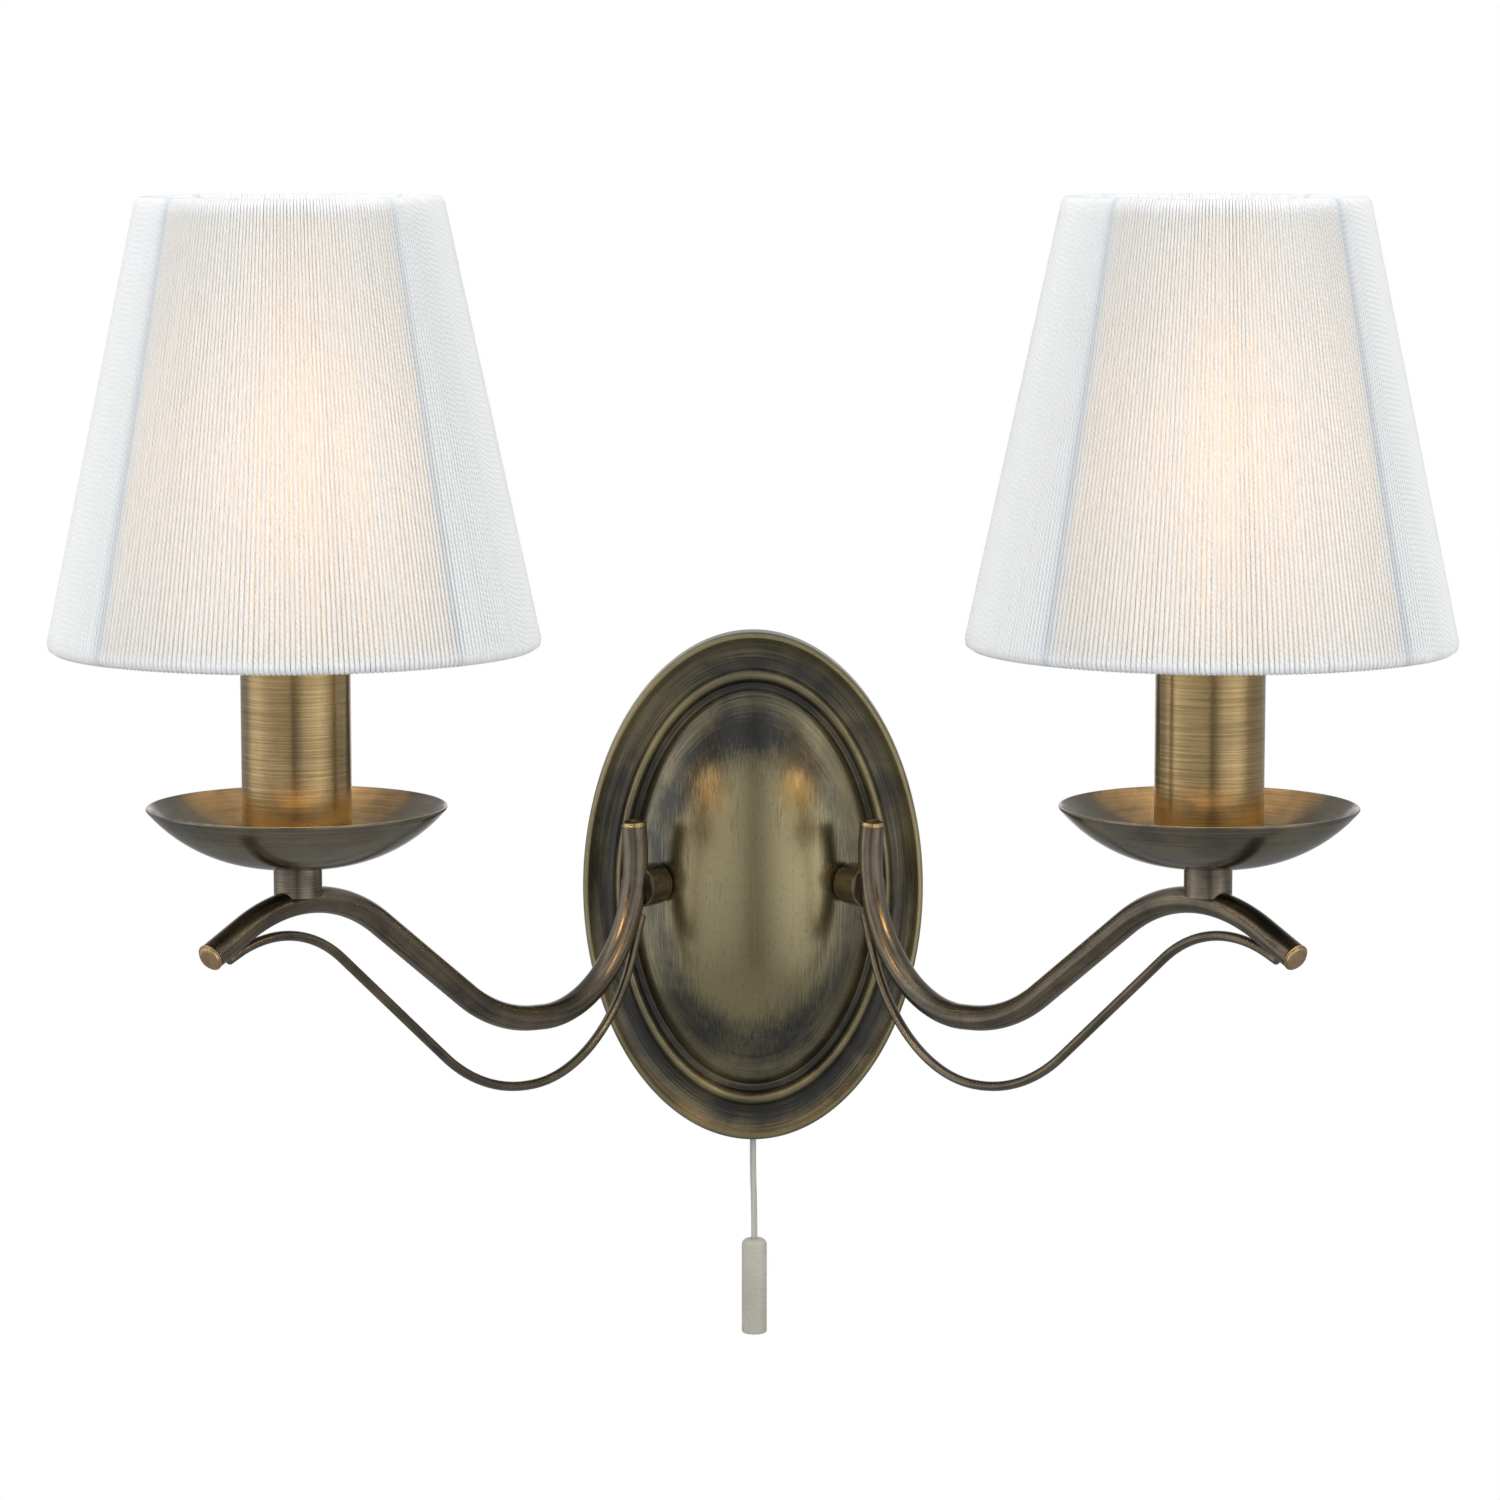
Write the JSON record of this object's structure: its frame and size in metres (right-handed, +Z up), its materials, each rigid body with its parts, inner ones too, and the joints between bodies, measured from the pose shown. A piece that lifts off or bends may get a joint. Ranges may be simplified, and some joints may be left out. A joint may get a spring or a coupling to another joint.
{
  "type": "double arm wall sconce",
  "caption": "Wall light with scrolled arms on a domed oval backplate, drip dishes, candle sleeves, tapered string shades and a pull cord switch.",
  "frame": {"origin": "centre of the backplate on the wall plane", "axes": "+Z up, +X to the right seen from the room, -Y out of the wall into the room"},
  "size_m": [0.3802, 0.2144, 0.3467],
  "materials": {
    "antique_brass": "brushed, darkened with age, lacquered",
    "polished_brass": "polished",
    "bright_brass": "machined",
    "plated_steel": "zinc plated",
    "spring_steel": "plated wire",
    "lamp_cap": "satin",
    "lamp_glass": "opal, lit warm white",
    "frame_wire": "white enamel",
    "shade_string": "twisted white string, wound close",
    "cord": "braided cord",
    "handle_plastic": "moulded, satin",
    "white_plastic": "moulded",
    "dark_plastic": "moulded",
    "lampholder_plastic": "moulded heat resistant",
    "wire_insulation": "smooth sleeving"
  },
  "bodies": {
    "sconce": {"wall_bracket": "plated_steel", "earth_screw": "plated_steel", "boss_washers": "plated_steel", "boss_nuts": "plated_steel", "switch_screws": "plated_steel", "backplate": "antique_brass", "cover_screws": "antique_brass", "terminal_block": "white_plastic", "switch_housing": "white_plastic", "cord_bush": "white_plastic", "terminal_inserts": "bright_brass", "terminal_screws": "bright_brass", "switch_wire": "wire_insulation", "left_arm_tube": "antique_brass", "left_scroll_rod": "antique_brass", "left_arm_boss": "antique_brass", "left_stem_collar": "antique_brass", "left_drip_dish": "antique_brass", "left_candle_sleeve": "antique_brass", "left_end_caps": "polished_brass", "left_boss_nipple": "plated_steel", "left_stem_nipple": "plated_steel", "left_lampholder_body": "lampholder_plastic", "left_lampholder_socket": "lampholder_plastic", "left_lampholder_contact": "bright_brass", "left_lampholder_liner": "bright_brass", "left_lamp_cap": "lamp_cap", "left_lamp_glass": "lamp_glass", "left_lamp_wire": "wire_insulation", "right_arm_tube": "antique_brass", "right_scroll_rod": "antique_brass", "right_arm_boss": "antique_brass", "right_stem_collar": "antique_brass", "right_drip_dish": "antique_brass", "right_candle_sleeve": "antique_brass", "right_end_caps": "polished_brass", "right_boss_nipple": "plated_steel", "right_stem_nipple": "plated_steel", "right_lampholder_body": "lampholder_plastic", "right_lampholder_socket": "lampholder_plastic", "right_lampholder_contact": "bright_brass", "right_lampholder_liner": "bright_brass", "right_lamp_cap": "lamp_cap", "right_lamp_glass": "lamp_glass", "right_lamp_wire": "wire_insulation"},
    "switch_plunger": {"switch_slider": "dark_plastic", "switch_spring": "spring_steel", "switch_cord": "cord"},
    "cord_pull": {"pull_cord": "cord", "pull_handle": "handle_plastic", "cord_knot": "cord"},
    "left_clip": {"left_shade_clip": "spring_steel", "left_pivot_pin": "spring_steel"},
    "left_shade": {"left_shade_frame": "frame_wire", "left_shade_strings": "shade_string"},
    "right_clip": {"right_shade_clip": "spring_steel", "right_pivot_pin": "spring_steel"},
    "right_shade": {"right_shade_frame": "frame_wire", "right_shade_strings": "shade_string"}
  },
  "joints": [
    {"name": "switch_pull", "type": "slide", "parent": "sconce", "child": "switch_plunger", "axis": [0, 0, -1], "range_m": [0, 0.008], "stiffness_N_per_m": 350, "deforming": ["switch_spring"]},
    {"name": "cord_swing", "type": "hinge", "parent": "switch_plunger", "child": "cord_pull", "pos_m": [0, -0.0046, -0.078], "axis": [0, 1, 0], "range_deg": [-40, 40]},
    {"name": "left_shade_lift", "type": "slide", "parent": "sconce", "child": "left_clip", "axis": [0, 0, 1], "range_m": [0, 0.095]},
    {"name": "left_shade_tilt", "type": "hinge", "parent": "left_clip", "child": "left_shade", "pos_m": [-0.1236, -0.14789, 0.18474], "axis": [0, 1, 0], "range_deg": [-15, 15]},
    {"name": "right_shade_lift", "type": "slide", "parent": "sconce", "child": "right_clip", "axis": [0, 0, 1], "range_m": [0, 0.095]},
    {"name": "right_shade_tilt", "type": "hinge", "parent": "right_clip", "child": "right_shade", "pos_m": [0.1236, -0.14789, 0.18474], "axis": [0, 1, 0], "range_deg": [-15, 15]}
  ]
}
